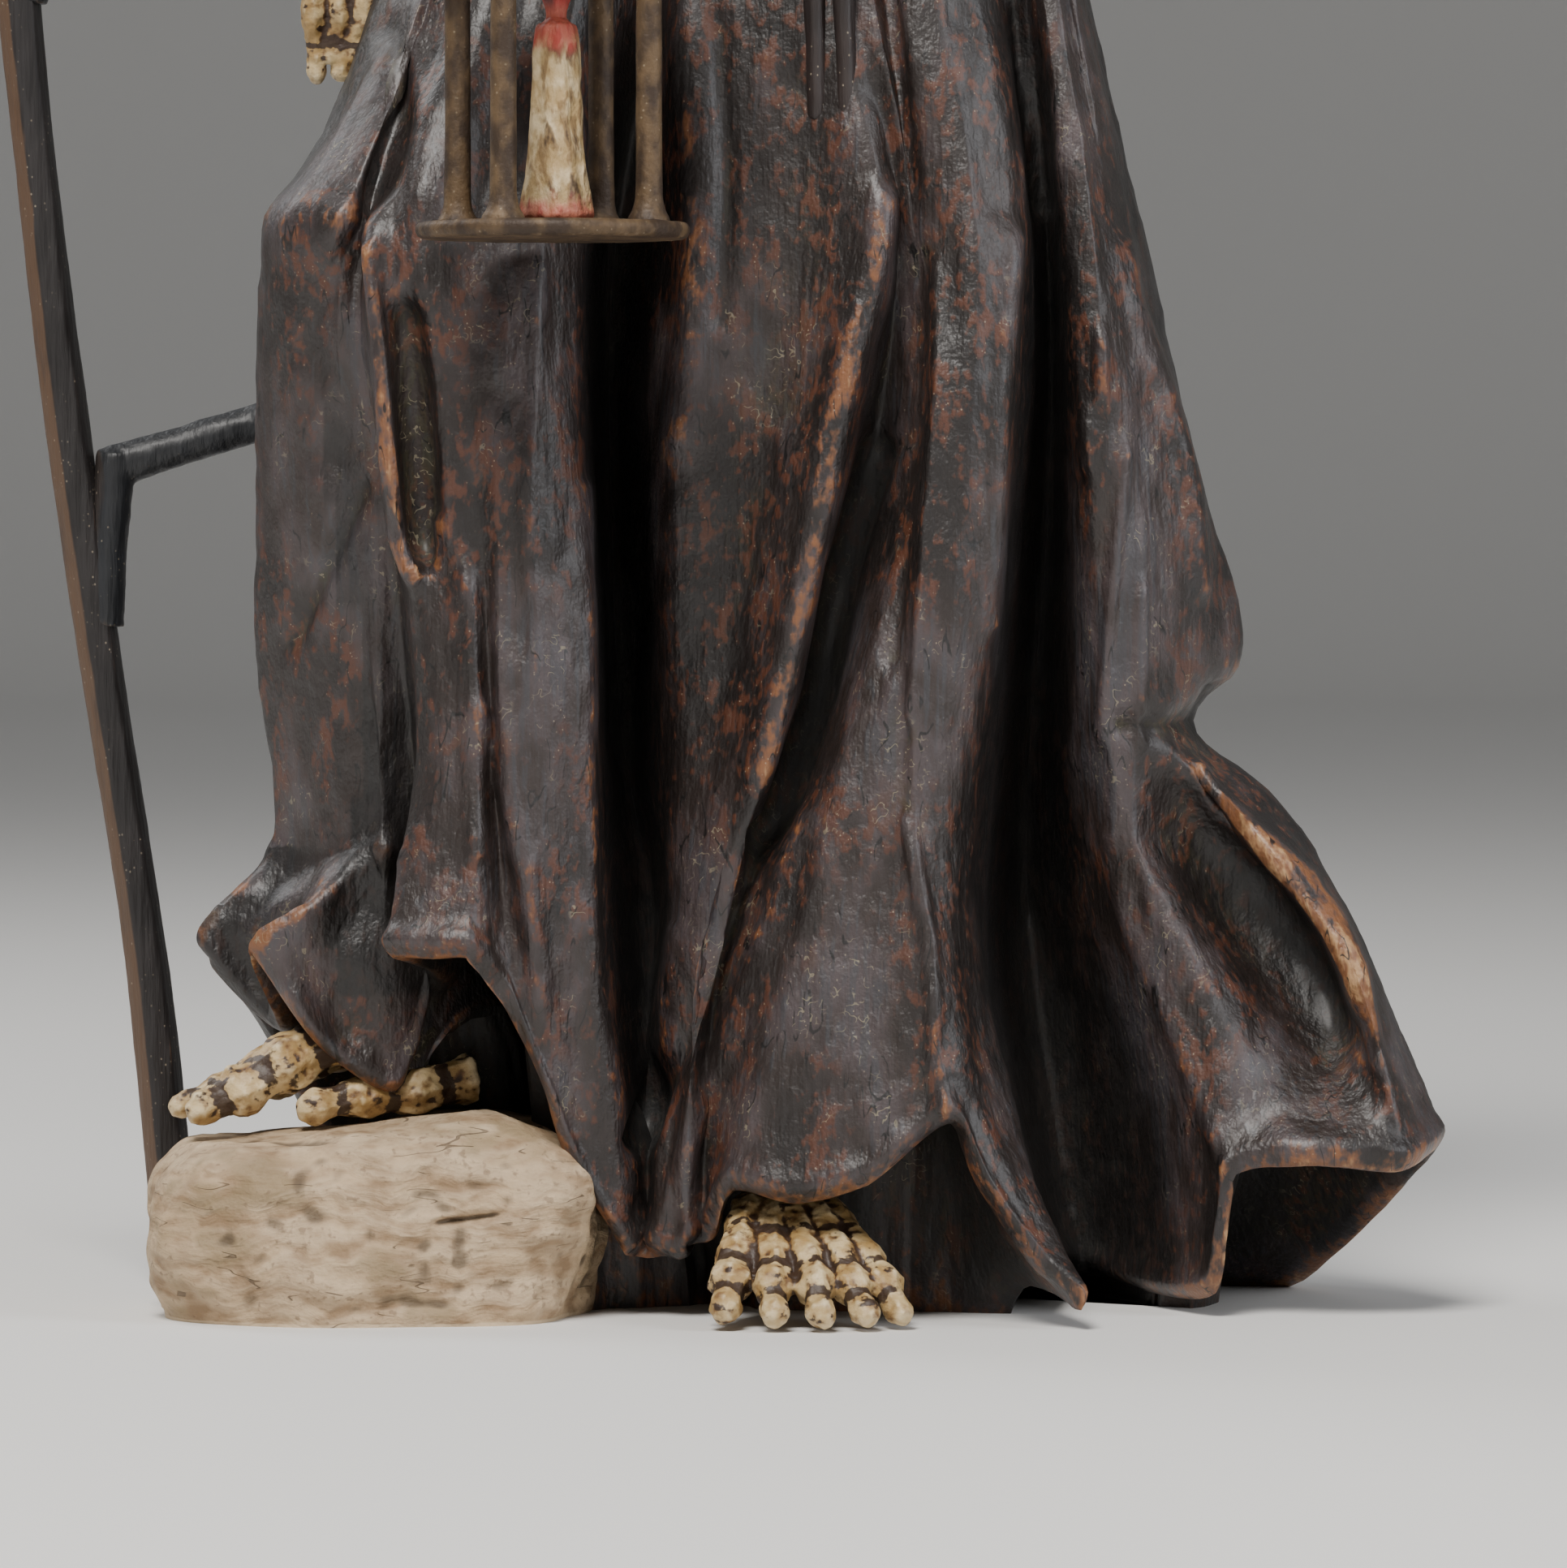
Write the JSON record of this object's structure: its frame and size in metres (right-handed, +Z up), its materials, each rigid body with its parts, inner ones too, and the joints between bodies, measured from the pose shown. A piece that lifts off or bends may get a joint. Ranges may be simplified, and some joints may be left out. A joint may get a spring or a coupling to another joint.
{
  "type": "memento mori statue",
  "caption": "Carved and painted wooden hooded skeleton in a pleated robe, one foot on a rock, with a scythe and a barred lantern.",
  "frame": {"origin": "on the floor under the middle of the robe's flat underside", "axes": "+Z up, -Y the way the figure faces, +X to the figure's left"},
  "size_m": [0.1967, 0.1228, 0.372],
  "materials": {
    "painted_carving": "dark brown satin paint over wood, rubbed through on the ridges, bones in worn ivory",
    "pale_block": "matt tan-grey wash over wood with level grain",
    "dark_staff": "black satin paint, worn brown on one side",
    "blade": "dark steel grey, worn at the edge",
    "lantern_metal": "brown patina with golden and grey wear",
    "candle": "cream paint with brown dirt and red touches, dull red flame"
  },
  "bodies": {
    "root": {"figure": "painted_carving", "rock": "pale_block", "scythe_snath": "dark_staff", "lower_grip": "dark_staff", "upper_grip": "dark_staff", "scythe_blade": "blade", "lantern": "lantern_metal", "candle": "candle"}
  },
  "joints": []
}
